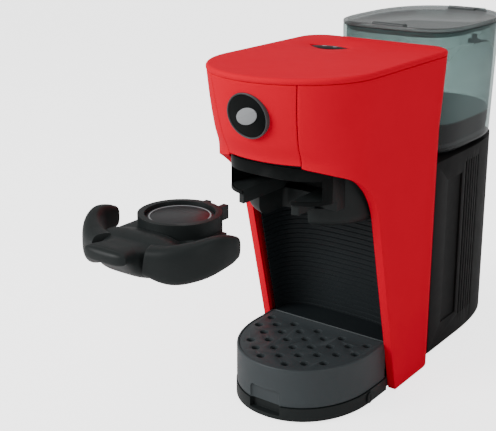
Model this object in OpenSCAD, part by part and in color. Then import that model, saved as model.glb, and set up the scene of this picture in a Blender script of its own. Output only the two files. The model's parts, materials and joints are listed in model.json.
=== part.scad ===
// Pod coffee machine with a slide-in capsule holder.
// Origin: on the table, midway between the side panels. -Y is the front, +Z is up.

/* [Body] */
// Width across the top cover
head_w = 126; // [118:1:134]
// Width of the red body at the table
foot_w = 116; // [114:1:118]
// Height of the red body
body_h = 255; // [250:1:262]
// Reach of the top cover in front of the origin
cap_front = 112; // [108:1:116]
// Rear face of the red body behind the origin
body_rear = 68; // [66:1:72]
// Wall thickness of the red panels
skin = 3; // [2.4:0.2:3.4]

/* [Rear housing and tank] */
// Width of the rear housing
house_w = 102; // [98:1:104]
// Rear face of the rear housing behind the origin
house_rear = 214; // [208:1:218]
// Height of the deck that carries the tank
deck_z = 164; // [160:1:166]
// Width of the tank at its rim
tank_w = 106; // [102:1:108]
// Height of the tank body
tank_h = 96; // [90:1:98]
// Wall thickness of the tank
tank_wall = 2.4; // [2:0.2:3]

/* [Base and tray] */
// Width of the base in front of the body
base_w = 105; // [102:1:107]
// Reach of the base in front of the origin
base_front = 88; // [86:1:92]
// Height of the joint between base and drip tray
tray_z = 12; // [11:0.5:13]
// Height of the tray rim
tray_top = 42; // [40:1:49]
// Diameter of a drain hole
hole_d = 6.6; // [5:0.2:7]

/* [Brew head] */
// Distance of the brew axis in front of the origin
brew_y = 64; // [62:1:66]
// Radius of the pod's lid
pod_r = 21.5; // [20:0.5:22]
// Height of the slot floor
slot_z = 168; // [167:0.5:169]
// Height of the slot opening
slot_h = 14; // [13.5:0.5:17]
// Half width of the slot opening
slot_half = 38; // [36:1:39]
// Travel of the capsule holder from its loading place to the brew axis
holder_travel = 112; // [108:1:114]

/* [Button] */
// Length of the lens-shaped button
button_len = 36; // [30:1:38]
// Width of the lens-shaped button
button_wid = 16; // [12:1:18]

/* [Hidden] */
$fn = 64;

e = 0.01;
gap = 0.3;
mid_y = -50;
head_z = 194;
cap_t = 4;
corner_r = 20;
seam_gap = 0.4;
cap_z = body_h - cap_t;
axis_y = -brew_y;
load_y = axis_y - holder_travel;
button_pos = [-20, 24];
badge_z = 228;

// Levels of the red body with its half width and the half depth of its rounded front
levels = [[2, foot_w / 2, 40], [150, foot_w / 2 + 0.6, 42], [head_z, foot_w / 2 + 1, 44],
    [209, foot_w / 2 + 2, 51], [231, head_w / 2 - 1.5, 57.5], [body_h, head_w / 2, cap_front + mid_y]];

// ---------- outlines ----------

// Front half of an ellipse, from +a round the front to -a
function front_arc(a, b, n = 20) =
    [for (i = [0 : n]) let (t = -180 * i / n) [a * cos(t), b * sin(t)]];

// Rear half: straight sides and rounded corners, from -a round the rear to +a
function rear_box(a, l, r, n = 6) = concat(
    [for (i = [0 : n]) let (t = 180 - 90 * i / n) [-a + r + r * cos(t), l - r + r * sin(t)]],
    [for (i = [0 : n]) let (t = 90 - 90 * i / n) [a - r + r * cos(t), l - r + r * sin(t)]]);

function power(v, p) = sign(v) * pow(abs(v), p);

// Superellipse arc between two angles, half width a, half depth b, exponent n
function squircle(a, b, n, t0, t1, steps) =
    [for (i = [0 : steps]) let (t = t0 + (t1 - t0) * i / steps)
        [a * power(cos(t), 2 / n), b * power(sin(t), 2 / n)]];

// Plan of the base and the tray: rounded front, straight rear edge at y = rear
foot_n = 2.1;
function foot_plan(inset, rear) = concat(
    [for (p = squircle(base_w / 2 - inset, base_front - 24 - inset, foot_n, 0, -180, 40)) p + [0, -24]],
    [[-base_w / 2 + inset, rear], [base_w / 2 - inset, rear]]);

// Plan of the rear housing: straight front edge, rounded rear
function house_plan(inset, front) = concat(
    [for (p = squircle(house_w / 2 - inset, house_rear - 110 - inset, 2.8, 0, 180, 44)) p + [0, 110]],
    [[-house_w / 2 + inset, front + inset], [house_w / 2 - inset, front + inset]]);

// Plan of the tank about its own centre line at y = 140
function tank_plan(half, front, rear) = concat(
    squircle(half, rear, 2.3, 0, 180, 44),
    squircle(half, front, 4, 180, 360, 32));

// ---------- shared shapes ----------

// The closed outer form of the red body, drawn in by inset
module body_form(inset) {
    for (i = [0 : len(levels) - 2]) {
        low = levels[i];
        high = levels[i + 1];
        wide = (high[1] - inset) / (low[1] - inset);
        translate([0, mid_y, low[0]]) {
            linear_extrude(high[0] - low[0], slices = 1, segments = 1,
                scale = [wide, (high[2] - inset) / (low[2] - inset)])
                polygon(concat(front_arc(low[1] - inset, low[2] - inset), [[0, e]]));
            linear_extrude(high[0] - low[0], slices = 1, segments = 1, scale = [wide, 1])
                polygon(rear_box_closed(low[1] - inset, body_rear - mid_y - inset, corner_r - inset));
        }
    }
}

function rear_box_closed(a, l, r) = concat([[-a, -e]], rear_box(a, l, r), [[a, -e]]);

// Side view of a red panel: head underside, arch and the front edge of the leg
arch_from = [-74, 187];
arch_knee = [-40, 176];
arch_to = [-32, 145];
function bezier(a, b, c, n) =
    [for (i = [0 : n]) let (t = i / n) a * (1 - t) * (1 - t) + b * 2 * t * (1 - t) + c * t * t];
leg_foot = [3, 2];
panel_side = concat([[-cap_front - 5, head_z + 9]], bezier(arch_from, arch_knee, arch_to, 10),
    [leg_foot, [body_rear + 1, 2], [body_rear + 1, cap_z - seam_gap], [-cap_front - 5, cap_z - seam_gap]]);

// A side view outline made solid across the whole width
module across(half = 80) {
    rotate([90, 0, 90]) translate([0, 0, -half]) linear_extrude(2 * half) children();
}

// Half width of the fascia at its lower and upper edge
seam_low = 28;
seam_high = 36;

// The fascia's face, seen from the front
module fascia_face(grow) {
    rotate([90, 0, 0]) translate([0, 0, 20]) linear_extrude(120)
        polygon([[-seam_low - grow, head_z - 20], [seam_low + grow, head_z - 20],
            [seam_high + grow, cap_z + 20], [-seam_high - grow, cap_z + 20]]);
}

module side_panel() {
    difference() {
        intersection() {
            body_form(0);
            across() polygon(panel_side);
            translate([10, -150, 0]) cube([80, body_rear + 150, body_h]);
        }
        difference() {
            body_form(skin);
            // Stiffening return along the arch and the leg
            difference() {
                across() polygon(panel_side);
                across() offset(delta = -skin) polygon(panel_side);
                translate([-80, -150, cap_z - 30]) cube([160, 300, 60]);
                translate([-80, 30, 0]) cube([160, 60, 300]);
                translate([-50.5, -150, 0]) cube([101, 300, 300]);
                translate([-53, -150, 0]) cube([106, 300, tray_top + 2]);
            }
        }
        fascia_face(seam_gap);
        translate([-1, body_rear - skin - 1, 0]) cube([foot_w / 2 - corner_r + 2, 20, body_h]);
    }
}

// A helical spring with a round wire, standing on z = 0
module coil(r, wire, h, turns) {
    steps = 14;
    sides = 6;
    total = steps * turns;
    pts = [for (i = [0 : total], k = [0 : sides - 1])
        let (t = 360 * i / steps, u = 360 * k / sides, rr = r + wire * cos(u))
            [rr * cos(t), rr * sin(t), wire + (h - 2 * wire) * i / total + wire * sin(u)]];
    walls = [for (i = [0 : total - 1], k = [0 : sides - 1]) let (n = (k + 1) % sides)
        [i * sides + k, i * sides + n, (i + 1) * sides + n, (i + 1) * sides + k]];
    polyhedron(pts, concat([[for (k = [sides - 1 : -1 : 0]) k]], walls,
        [[for (k = [0 : sides - 1]) total * sides + k]]));
}

module ring(r_out, r_in, h) {
    difference() {
        cylinder(r = r_out, h = h);
        translate([0, 0, -1]) cylinder(r = r_in, h = h + 2);
    }
}

// A flat bar with round ends, lying along X
module slot_bar(len, r, h) {
    linear_extrude(h) union() {
        square([len - 2 * r, 2 * r], center = true);
        for (s = [-1, 1]) translate([s * (len / 2 - r), 0]) circle(r = r);
    }
}

function unit(v) = v / norm(v);

// A route through points, rounded at each corner over the length d
function bends(p, d) = [for (i = [0 : len(p) - 1])
    for (q = i == 0 || i == len(p) - 1 ? [p[i]] :
        bezier(p[i] - d * unit(p[i] - p[i - 1]), p[i], p[i] + d * unit(p[i + 1] - p[i]), 5)) q];

// A bent tube swept along a route; side is a direction the route never takes
module tube(points, r, d, side) {
    path = bends(points, d);
    last = len(path) - 1;
    sides = 12;
    rings = [for (i = [0 : last], k = [0 : sides - 1])
        let (t = unit(path[min(i + 1, last)] - path[max(i - 1, 0)]), u = unit(cross(t, side)),
            v = cross(t, u), a = 360 * k / sides)
            path[i] + r * (cos(a) * u + sin(a) * v)];
    walls = [for (i = [0 : last - 1], k = [0 : sides - 1]) let (n = (k + 1) % sides)
        [i * sides + k, (i + 1) * sides + k, (i + 1) * sides + n, i * sides + n]];
    polyhedron(rings, concat([[for (k = [0 : sides - 1]) k]], walls,
        [[for (k = [sides - 1 : -1 : 0]) last * sides + k]]));
}

// ---------- base ----------

feet_at = [[-30, -60], [30, -60], [0, 0], [-38, 150], [38, 150]];

module base_frame() {
    color("#25282a") difference() {
        union() {
            translate([0, 0, 2]) linear_extrude(tray_z - 2) polygon(foot_plan(0, -1));
            // Part that carries the red panels, the pump and the rear housing
            translate([0, 0, 2]) linear_extrude(tray_z - 2) for (s = [-1, 1]) scale([s, 1])
                polygon([[-e, -1 - e], [50, -1 - e], [50, 59.4], [47.6, 61.4], [44, 63.4], [38.6, 64.6],
                    [38.6, 120], [-e, 120]]);
            translate([0, 0, 2]) linear_extrude(tray_z - 2) polygon(house_plan(3.3, body_rear - 2.7));
        }
        // Hollow above the floor plate
        difference() {
            translate([0, 0, 4.6]) linear_extrude(tray_z) polygon(foot_plan(2.6, -4));
            translate([-15.4, -base_front, 0]) cube([30.8, 8.4, 30]);
        }
        translate([-44, 1, 4.6]) cube([88, 59, 20]);
        translate([0, 0, 4.6]) linear_extrude(tray_z) polygon(house_plan(6, body_rear + 0.6));
        // Finger notch under the tray
        translate([-13, -base_front - 5, 5]) cube([26, 11, 20]);
        // Sockets for the feet and the screws
        for (p = feet_at) translate([p[0], p[1], 0]) cylinder(r = 8.2, h = 3.2);
        for (p = screws_at) translate([p[0], p[1], 0]) cylinder(r = 1.6, h = 9.4);
    }
}

screws_at = [[-44, 20], [44, 20], [-40, 84], [40, 84]];

module feet() {
    color("#161616") for (p = feet_at) translate([p[0], p[1], 0]) {
        cylinder(r = 8.2, h = 3.2);
    }
}

module base_screws() {
    color("silver") for (p = screws_at) translate([p[0], p[1], 0]) {
        translate([0, 0, 0.8]) difference() {
            cylinder(r = 2.9, h = 1.2);
            translate([-2, -0.4, -e]) cube([4, 0.8, 0.7]);
        }
        translate([0, 0, 2]) cylinder(r = 1.6, h = 7);
    }
}

// Oval covers on the flanks of the base
module side_lugs() {
    color("#2b2e30") for (s = [-1, 1]) translate([s * (base_w / 2 + 0.02), -27, 7]) rotate([0, s * 90, 0])
        difference() {
            slot_bar(9, 3.4, 1);
            translate([0, 0, 0.5]) slot_bar(5.6, 0.8, 2);
        }
}

// ---------- red shells ----------

module side_panel_right() {
    color("#be1e23") side_panel();
}

module side_panel_left() {
    color("#be1e23") mirror([1, 0, 0]) side_panel();
}

module front_fascia() {
    color("#ee2428") intersection() {
        difference() {
            body_form(0);
            body_form(skin);
        }
        fascia_face(0);
        translate([-80, -150, head_z]) cube([160, 110, cap_z - seam_gap - head_z]);
    }
}

module badge_place() {
    translate([0, -105.6, badge_z]) rotate([90 + 11, 0, 0]) children();
}

module badge_disc() {
    color("#151515") badge_place() translate([0, 0, -3]) cylinder(r = 15, h = 5);
}

module badge_ring() {
    color("#9a9a9a") badge_place() translate([0, 0, -3]) ring(16.2, 15, 5.4);
}

// Plain bean emblem: an oval with a groove along it
module badge_bean() {
    color("#d8d8d8") badge_place() translate([0, 0, 2]) rotate([0, 0, 25]) difference() {
        linear_extrude(0.6) polygon(squircle(9, 5.6, 2, 0, 350, 35));
        translate([0, 2.6, -1]) ring(14.6, 13.9, 3, $fn = 90);
        translate([-20, 0.55, -1]) cube([40, 0.01, 3]);
    }
}

module top_cover() {
    color("#e8232a") difference() {
        union() {
            intersection() {
                body_form(0);
                translate([-80, -150, cap_z]) cube([160, 260, cap_t]);
            }
            // Locating rim under the slab
            intersection() {
                difference() {
                    body_form(skin + 0.5);
                    body_form(skin + 2.5);
                }
                translate([-80, -150, cap_z - 5]) cube([160, 260, 5 + e]);
            }
        }
        // Shallow dish round the button
        translate([button_pos[0], button_pos[1], body_h + 178.8]) sphere(r = 181, $fn = 128);
        button_place() lens(button_len + 0.8, button_wid + 0.8, 60);
    }
}

// ---------- power button ----------

module button_place() {
    translate([button_pos[0], button_pos[1], cap_z - 20]) children();
}

// Lens-shaped prism: the overlap of two round cylinders
module lens(len, wid, h) {
    r = (len * len + wid * wid) / (4 * wid);
    intersection() {
        translate([0, r - wid / 2, 0]) cylinder(r = r, h = h, $fn = 128);
        translate([0, -r + wid / 2, 0]) cylinder(r = r, h = h, $fn = 128);
    }
}

module power_button() {
    color("#111111") button_place() {
        intersection() {
            translate([0, 0, 13]) lens(button_len, button_wid, 14);
            translate([0, 0, -137]) sphere(r = 160, $fn = 128);
        }
        translate([0, 0, 2.5]) cylinder(r = 3, h = 10.6);
    }
}

module button_carrier() {
    color("#3a3d3f") button_place() difference() {
        union() {
            translate([0, 0, 6]) linear_extrude(2) square([44, 26], center = true);
            for (s = [-1, 1]) translate([s * 20.5 - 1.5, -13, 6]) cube([3, 26, 14]);
        }
        translate([0, 0, 5]) cylinder(r = 3.06, h = 4);
    }
}

module button_spring() {
    color("silver") button_place() translate([0, 0, 8.1]) coil(5.2, 0.4, 4.7, 4);
}

module button_switch() {
    color("#404448") button_place() {
        translate([-6, -6, -6]) cube([12, 12, 6]);
        translate([0, 0, 0]) cylinder(r = 1.8, h = 0.6);
        // Posts with a window for the wires
        for (s = [-1, 1]) translate([s * 20.5 - 1.5, 0, -6]) difference() {
            translate([0, -7, 0]) cube([3, 14, 12]);
            translate([-1, -3.9, 1.4]) cube([5, 7.8, 3.2]);
        }
        translate([-22, -4, -8]) cube([44, 8, 2]);
    }
}

// ---------- brew head ----------

module brew_plan(grow) {
    polygon(concat([for (p = squircle(41 + grow, 36 + grow, 3, 0, -180, 40)) p + [0, mid_y]],
        [[-41 - grow, -20], [41 + grow, -20]]));
}

module casing_plan(grow) {
    polygon(concat([for (p = squircle(53 + grow, 58 + grow, 2.3, 0, -180, 40)) p + [0, -10]],
        [[-53 - grow, 24], [53 + grow, 24]]));
}

// Black plate that closes the head from below, following its slope
module head_floor() {
    color("#1d2022") difference() {
        intersection() {
            body_form(skin + gap);
            translate([0, -74, 188.6]) rotate([-20, 0, 0]) translate([-50, -50, 0]) cube([100, 62, 2.4]);
        }
        translate([0, 0, 150]) linear_extrude(60) brew_plan(mask_t + 0.2);
        translate([0, 0, 150]) linear_extrude(60) casing_plan(0.2);
    }
}

jaw_z = 158;
brew_top = 202;
module brew_housing() {
    color("#1f2224") difference() {
        translate([0, 0, jaw_z]) linear_extrude(brew_top - jaw_z) brew_plan(0);
        // Tunnel for the holder
        translate([-slot_half, -120, slot_z]) cube([2 * slot_half, 120, slot_h]);
        // Gap in the jaw for the cup and the spout of the holder
        translate([-20, -120, 150]) cube([40, 120, 30]);
        // The jaw is narrower than the head above it
        for (s = [-1, 1]) translate([s * 55 - 30, -120, 150]) cube([60, 60, slot_z - 153]);
        translate([0, axis_y, 170]) cylinder(r = 17.6, h = 40);
    }
}

// Smooth mask round the front of the housing, with the slot cut in it
mask_t = 1.6;
module slot_frame() {
    color("#2a2e30") difference() {
        translate([0, 0, slot_z - 3]) linear_extrude(slot_h + 12) difference() {
            brew_plan(mask_t);
            brew_plan(0.05);
        }
        translate([-slot_half, -120, slot_z]) cube([2 * slot_half, 120, slot_h]);
        translate([-20, -120, 150]) cube([40, 120, 30]);
        translate([-60, -66, 150]) cube([120, 120, 60]);
    }
}

// Wide casing behind the slot: the ceiling of the cup bay
module brew_casing() {
    color("#202527") difference() {
        translate([0, 0, 143]) linear_extrude(52) casing_plan(0);
        translate([0, 0, 146]) linear_extrude(60) difference() {
            casing_plan(-3);
            translate([-23.5, -120]) square([47, 90]);
        }
        translate([0, 0, 157.9]) linear_extrude(50) brew_plan(0.05);
        // Channel for the cup and the spout of the holder
        translate([-20.5, -120, 140]) cube([41, 86, 70]);
        // Way in for the holder's ring
        translate([-slot_half, -120, slot_z]) cube([2 * slot_half, 105, 50]);
    }
}

module bay_wall() {
    color("#22282b") difference() {
        union() {
            translate([-50, 24, tray_z]) cube([100, 3, 171]);
            // Shelf that closes the gap behind the tray
            translate([-50, -0.8, tray_z]) cube([100, 2, tray_top - tray_z - 0.6]);
            translate([-50, -0.8, tray_top - 2.6]) cube([100, 25, 2]);
            for (s = [-1, 1]) translate([s * 48.8 - 1.2, 4.4, tray_z]) cube([2.4, 20, 130]);
        }
        for (i = [0 : 23]) translate([-46, 23.2, 26 + 4.8 * i]) cube([92, 1.6, 1.4]);
    }
}

module brew_piston() {
    color("#b9bcc0") difference() {
        union() {
            translate([0, axis_y, slot_z + slot_h + 1.2]) cylinder(r = 17.5, h = 14);
            translate([0, axis_y, slot_z + slot_h + 15]) cylinder(r = 6, h = 24);
        }
        translate([0, axis_y, slot_z]) cylinder(r = 1.6, h = 60);
        for (i = [0 : 5]) translate([9 * cos(60 * i), axis_y + 9 * sin(60 * i), slot_z])
            cylinder(r = 0.8, h = 22, $fn = 24);
    }
}

module piston_nut() {
    color("#8d9094") translate([0, axis_y, slot_z + slot_h + 36]) ring(11, 6, 3);
}

// Bar across the housing that carries the return spring
module piston_bridge() {
    color("#303436") difference() {
        translate([-30, axis_y - 12, brew_top + 0.02]) cube([60, 24, 2.48]);
        translate([0, axis_y, slot_z + slot_h]) cylinder(r = 6.08, h = 40);
    }
}

module piston_seal() {
    color("#303030") translate([0, axis_y, slot_z + slot_h + 0.2]) ring(16, 13, 1);
}

module piston_spring() {
    color("silver") translate([0, axis_y, brew_top + 2.9]) coil(8.6, 0.7, 12.8, 5);
}

// ---------- capsule holder, drawn at its loading place ----------

module holder_body() {
    color("#17191b") translate([0, load_y, 0]) difference() {
        union() {
            // Sliding flange in front of the ring
            translate([-30, -26, slot_z + gap]) cube([60, 34, 3]);
            translate([0, 0, slot_z + gap]) cylinder(r = 26, h = 12.4);
            // Cup below the flange
            translate([0, 0, 152]) cylinder(r = 18.5, h = 20);
            // Rear tab that lifts the used pod
            translate([-9, 26, slot_z + gap]) cube([18, 11, 9]);
        }
        translate([0, 0, 176.6]) cylinder(r = pod_r + gap, h = 10);
        translate([0, 0, 154.5]) cylinder(r1 = 13.5, r2 = 17, h = 23);
        translate([0, 0, 140]) cylinder(r = 4, h = 20);
        translate([-5, 29, slot_z + 6]) cube([10, 12, 10]);
    }
}

// Front grip with swept ears and a handle
module holder_grip() {
    color("#1b1d1f") translate([0, load_y, 0]) difference() {
        union() {
            // Ears that sweep back beside the slot, outside the housing
            for (s = [-1, 1]) hull() {
                translate([s * 47.8, -8, 163]) cylinder(r = 4.4, h = 15, $fn = 32);
                translate([s * 47.6, -24, 160]) cylinder(r = 4.6, h = 22, $fn = 32);
                translate([s * 34, -42, 153]) cylinder(r = 8, h = 25, $fn = 32);
            }
            hull() {
                for (s = [-1, 1]) translate([s * 34, -42, 153]) cylinder(r = 8, h = 25, $fn = 32);
                translate([-16, -58, 161]) cube([32, 10, 16]);
            }
            translate([-24, -38, 156]) cube([48, 12, 20]);
            // Handle
            hull() {
                translate([-15, -58, 163]) cube([30, 10, 13]);
                for (s = [-1, 1]) translate([s * 11, -64, 168]) cylinder(r = 6, h = 9, $fn = 32);
            }
        }
        translate([-34.1, -26.02, 140]) cube([68.2, 60, 60]);
        // Room for the housing when the holder is home
        translate([-42.9, -24.6, 140]) cube([85.8, 60, 60]);
    }
}

module holder_spout() {
    color("#1b1d1f") translate([0, load_y, 0]) difference() {
        translate([0, 0, 140]) cylinder(r1 = 10, r2 = 15.5, h = 12);
        for (s = [-1, 1]) translate([s * 3.4, 0, 139]) cylinder(r = 1.8, h = 10, $fn = 24);
        translate([0, 0, 148]) cylinder(r = 5.4, h = 5);
    }
}

module coffee_pod() {
    color("#2a2a2c") translate([0, load_y, 0]) difference() {
        union() {
            translate([0, 0, 176.8]) cylinder(r = pod_r, h = 1.4);
            translate([0, 0, 156]) cylinder(r1 = 13, r2 = 16.6, h = 21);
        }
        translate([0, 0, 157.2]) cylinder(r1 = 12, r2 = 15.4, h = 22);
    }
}

module pod_foil() {
    color("#3a3a3c") translate([0, load_y, 178.2]) {
        cylinder(r = pod_r - 0.6, h = 0.4);
    }
}

// ---------- drip tray ----------

module drip_tray() {
    color("#22272a") difference() {
        translate([0, 0, tray_z + gap]) linear_extrude(tray_top - tray_z - gap) polygon(foot_plan(0.4, -1.4));
        translate([0, 0, tray_z + gap + 2.4]) linear_extrude(50) polygon(foot_plan(3, -4));
        // Ledge that carries the grid
        translate([0, 0, tray_top - 4]) linear_extrude(10) polygon(foot_plan(1.9, -2.9));
        translate([-13, -base_front - 5, tray_z]) cube([26, 9, 12]);
    }
    color("#22272a") difference() {
        translate([0, 0, tray_z + gap]) linear_extrude(14) polygon(foot_plan(0.4, -1.4));
        translate([0, 0, tray_z + gap + 2.4]) linear_extrude(50) polygon(foot_plan(9, -7));
        translate([-13, -base_front - 5, tray_z]) cube([26, 9, 12]);
        translate([-80, -base_front + 8, tray_z + 2.8]) cube([160, 200, 60]);
    }
}

pitch_x = 10.8;
pitch_y = 17;
module drip_grid() {
    color("#3a4145") difference() {
        translate([0, 0, tray_top - 4 + e]) linear_extrude(3.6) polygon(foot_plan(2.4, -3.4));
        for (i = [-4 : 4], j = [0 : 5])
            let (x = i * pitch_x, y = -8 - j * pitch_y - (i % 2 == 0 ? pitch_y / 2 : 0))
                if (pow(abs(x) / 45, foot_n) + pow(max(0, -y - 24) / 56, foot_n) < 1 && y < -9)
                    translate([x, y, tray_top - 6]) cylinder(r = hole_d / 2, h = 10, $fn = 24);
    }
}

// ---------- rear housing ----------

module bulkhead() {
    color("#232323") difference() {
        translate([-38.8, body_rear - 6.1, tray_z + 0.2]) cube([77.6, 3, cap_z - 20]);
        translate([-20, body_rear - 10, 140]) rotate([-90, 0, 0]) cylinder(r = 3.2, h = 20);
    }
}

module rear_housing() {
    color("#1c1e1f") difference() {
        translate([0, 0, 4]) linear_extrude(deck_z - 4) polygon(house_plan(0, body_rear + 0.4));
        translate([0, 0, 3]) linear_extrude(deck_z - 6) polygon(house_plan(3, body_rear + 0.4));
        // Lower edge of the front wall clears the base
        translate([-48, 60, 3]) cube([96, 20, tray_z - 2.8]);
        translate([-20, 60, 140]) rotate([-90, 0, 0]) cylinder(r = 3.2, h = 20);
        // Upright recess and fine ribs on both flanks
        for (s = [-1, 1]) {
            translate([s * (house_w / 2 + 4) - 5.4, 90, 24]) cube([10.8, 26, 122]);
            for (i = [0 : 5]) let (y = 122 + 5 * i)
                translate([s * (house_x(y) + 4.2) - 5, y, 20]) cube([10, 1.6, 134]);
        }
        // Vent slots at the rear
        for (i = [-4 : 4]) translate([i * 6 - 1.3, house_rear - 10, 40]) cube([2.6, 20, 60]);
        translate([0, house_rear - 20, 24]) rotate([-90, 0, 0]) cylinder(r = 7.1, h = 40);
        translate([0, 100, deck_z - 10]) cylinder(r = 10, h = 20);
    }
}

// Half width of the rear housing at a distance y behind the origin
function house_x(y) = house_w / 2 * pow(1 - pow((y - 110) / (house_rear - 110), 2.8), 1 / 2.8);

module rear_vent() {
    color("#101112") difference() {
        translate([-14, house_rear - 6.4, 36]) cube([28, 1.6, 68]);
        for (i = [0 : 9]) translate([-11, house_rear - 9, 41 + 6 * i]) cube([22, 6, 2.4]);
    }
}

module cord_gland() {
    color("#101010") translate([0, house_rear - 6.5, 24]) rotate([-90, 0, 0]) difference() {
        union() {
            cylinder(r = 9, h = 3);
            cylinder(r = 7, h = 8.5);
        }
        translate([0, 0, -1]) cylinder(r = 3.6, h = 20);
    }
}

// ---------- tank ----------

seat_y = 100;

module tank_seat() {
    color("#2c2f31") translate([0, seat_y, 0]) difference() {
        union() {
            translate([0, 0, deck_z]) cylinder(r = 18, h = 1.6);
            translate([0, 0, deck_z - 14]) cylinder(r = 10, h = 14 + e);
            translate([0, 0, deck_z - 24]) cylinder(r = 3.2, h = 11);
        }
        translate([0, 0, deck_z - 11]) cylinder(r = 8.6, h = 20);
        translate([0, 0, deck_z - 30]) cylinder(r = 1.8, h = 17);
        for (i = [0 : 2]) rotate([0, 0, 120 * i]) translate([4.4, 0, deck_z - 12.4]) cylinder(r = 1.8, h = 4);
    }
}

module tank_seal() {
    color("#3c3c3c") translate([0, seat_y, deck_z - 6]) rotate_extrude()
        translate([8.38, 0]) circle(r = 0.2, $fn = 24);
}

tank_z = deck_z + 2;
tank_mid = 140;
tank_low = [tank_w / 2 - 3, 67, 70];
tank_high = [tank_w / 2, 68, 74];

module tank_form(inset, z0, z1) {
    k0 = (z0 - tank_z) / tank_h;
    k1 = (z1 - tank_z) / tank_h;
    low = tank_low * (1 - k0) + tank_high * k0 - [inset, inset, inset];
    high = tank_low * (1 - k1) + tank_high * k1 - [inset, inset, inset];
    translate([0, tank_mid, z0])
        linear_extrude(z1 - z0, slices = 1, segments = 1,
            scale = [high[0] / low[0], (high[1] + high[2]) / (low[1] + low[2])])
            polygon(tank_plan(low[0], low[1], low[2]));
}

hinge_z = tank_z + tank_h + 0.4;
hinge_y = tank_mid + tank_high[2] + 3.5;

module water_tank() {
    color("#5f7876") {
        difference() {
            tank_form(0, tank_z, tank_z + tank_h);
            tank_form(tank_wall, tank_z + 3, tank_z + tank_h + 1);
            translate([0, seat_y, tank_z - 5]) cylinder(r = 6, h = 20);
        }
        // Outlet nozzle with a guide for the valve stem
        translate([0, seat_y, tank_z - 9]) difference() {
            cylinder(r = 8, h = 9 + e);
            translate([0, 0, -1]) cylinder(r = 6, h = 20);
        }
        translate([0, seat_y, tank_z - 8]) difference() {
            cylinder(r = 6 + e, h = 2);
            translate([0, 0, -1]) cylinder(r = 1.56, h = 4);
            for (i = [0 : 3]) rotate([0, 0, 90 * i + 45]) translate([3.7, 0, -1])
                cylinder(r = 1.4, h = 4, $fn = 24);
        }
        // Hinge ears
        for (s = [-1, 1]) translate([s * 15 - 2, hinge_y, hinge_z]) rotate([0, 90, 0]) difference() {
            union() {
                cylinder(r = 3, h = 4);
                translate([0.6, -7, 0]) cube([8.4, 8, 4]);
            }
            translate([0, 0, -1]) cylinder(r = 1.5, h = 6);
        }
    }
}

module tank_valve() {
    color("#d0d4d4") translate([0, seat_y, 0]) {
        translate([0, 0, tank_z + 3.3]) cylinder(r = 8, h = 2);
        translate([0, 0, tank_z - 8.8]) cylinder(r = 1.5, h = 12.2);
    }
}

// Dark float mark that shows the water level
module tank_float() {
    color("#141818") translate([tank_w / 2 - 14, 150, tank_z + tank_h - 16]) {
        cylinder(r = 5, h = 3);
        translate([0, 0, 1]) cylinder(r = 2.2, h = 6);
        translate([-1, 0, 1]) cube([11.7, 3, 1.6]);
    }
}

module hinge_pin() {
    color("silver") translate([-18, hinge_y, hinge_z]) rotate([0, 90, 0]) cylinder(r = 1.5, h = 36);
}

lid_t = 3.4;
module tank_lid() {
    color("#5a5e60") difference() {
        union() {
            difference() {
                tank_lid_slab(0, tank_z + tank_h + 0.4, lid_t);
                tank_lid_slab(3, tank_z + tank_h + 2.2, 4);
            }
            difference() {
                tank_lid_slab(tank_wall + 1.4, tank_z + tank_h - 4, 5);
                tank_lid_slab(tank_wall + 3.2, tank_z + tank_h - 5, 10);
                translate([-60, 190, tank_z + tank_h - 6]) cube([120, 40, 6.4]);
            }
            // Knuckle and its web
            translate([-12.4, hinge_y, hinge_z]) rotate([0, 90, 0]) cylinder(r = 3, h = 24.8);
            translate([-12.4, hinge_y - 12, tank_z + tank_h + 0.4]) cube([24.8, 12, lid_t]);
            // Finger tab
            translate([0, 78, tank_z + tank_h + 2]) slot_bar(30, 4, 3.4);
        }
        translate([-20, hinge_y, hinge_z]) rotate([0, 90, 0]) cylinder(r = 1.55, h = 40);
    }
}

module tank_lid_slab(inset, z, h) {
    translate([0, tank_mid, z]) linear_extrude(h)
        polygon(tank_plan(tank_high[0] - inset, tank_high[1] - inset, tank_high[2] - inset));
}

// ---------- inner works ----------

module thermoblock() {
    color("#b8b8b4") difference() {
        union() {
            translate([-32, -18, 200]) cube([64, 60, 18]);
            for (s = [-1, 1]) translate([s * 33 - 3, -14, 198]) cube([6, 52, 4]);
        }
        for (i = [0 : 7]) translate([-33, -14 + 6.8 * i, 214]) cube([66, 2, 5]);
    }
}

module thermostat() {
    color("#d9d5c8") translate([18, 9.6, 218]) {
        cylinder(r = 6, h = 5);
        for (s = [-1, 1]) translate([s * 3 - 0.8, -1.5, 5]) cube([1.6, 3, 4]);
    }
}

module brew_pipe() {
    color("#c8c8c4") tube([[0, axis_y, slot_z + slot_h + 40], [0, axis_y, 232], [0, -30, 232],
        [0, -30, 208], [0, -18.1, 208]], 2, 5, [1, 0, 0]);
}

pump_at = [0, 150, 52];

module water_pump() {
    color("#c9c4b2") translate(pump_at) rotate([90, 0, 0]) {
        translate([0, 0, -30]) cylinder(r = 17, h = 46);
        translate([0, 0, 16]) cylinder(r = 8, h = 16);
        translate([0, 0, 32]) cylinder(r = 3, h = 8);
        translate([-20, -18, -20]) difference() {
            cube([40, 36, 26]);
            translate([20, 18, -1]) cylinder(r = 16.9, h = 40);
        }
        translate([0, 0, -38]) cylinder(r = 3, h = 9);
    }
}

module pump_mounts() {
    color("#262626") for (s = [-1, 1]) translate([s * 22.5 - 2.5, pump_at[1] - 14, tray_z - 7.4])
    difference() {
        cube([5, 28, 54]);
        for (k = [0 : 3]) translate([-1, 6, 6 + 6 * k]) cube([7, 16, 2]);
    }
}

module flow_meter() {
    color("#e4e4de") translate([0, seat_y, 116]) {
        cylinder(r = 13, h = 12);
        translate([0, 0, 11]) cylinder(r = 3, h = 8);
        translate([12, 0, 6]) rotate([0, 90, 0]) cylinder(r = 2.6, h = 10);
    }
}

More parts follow.
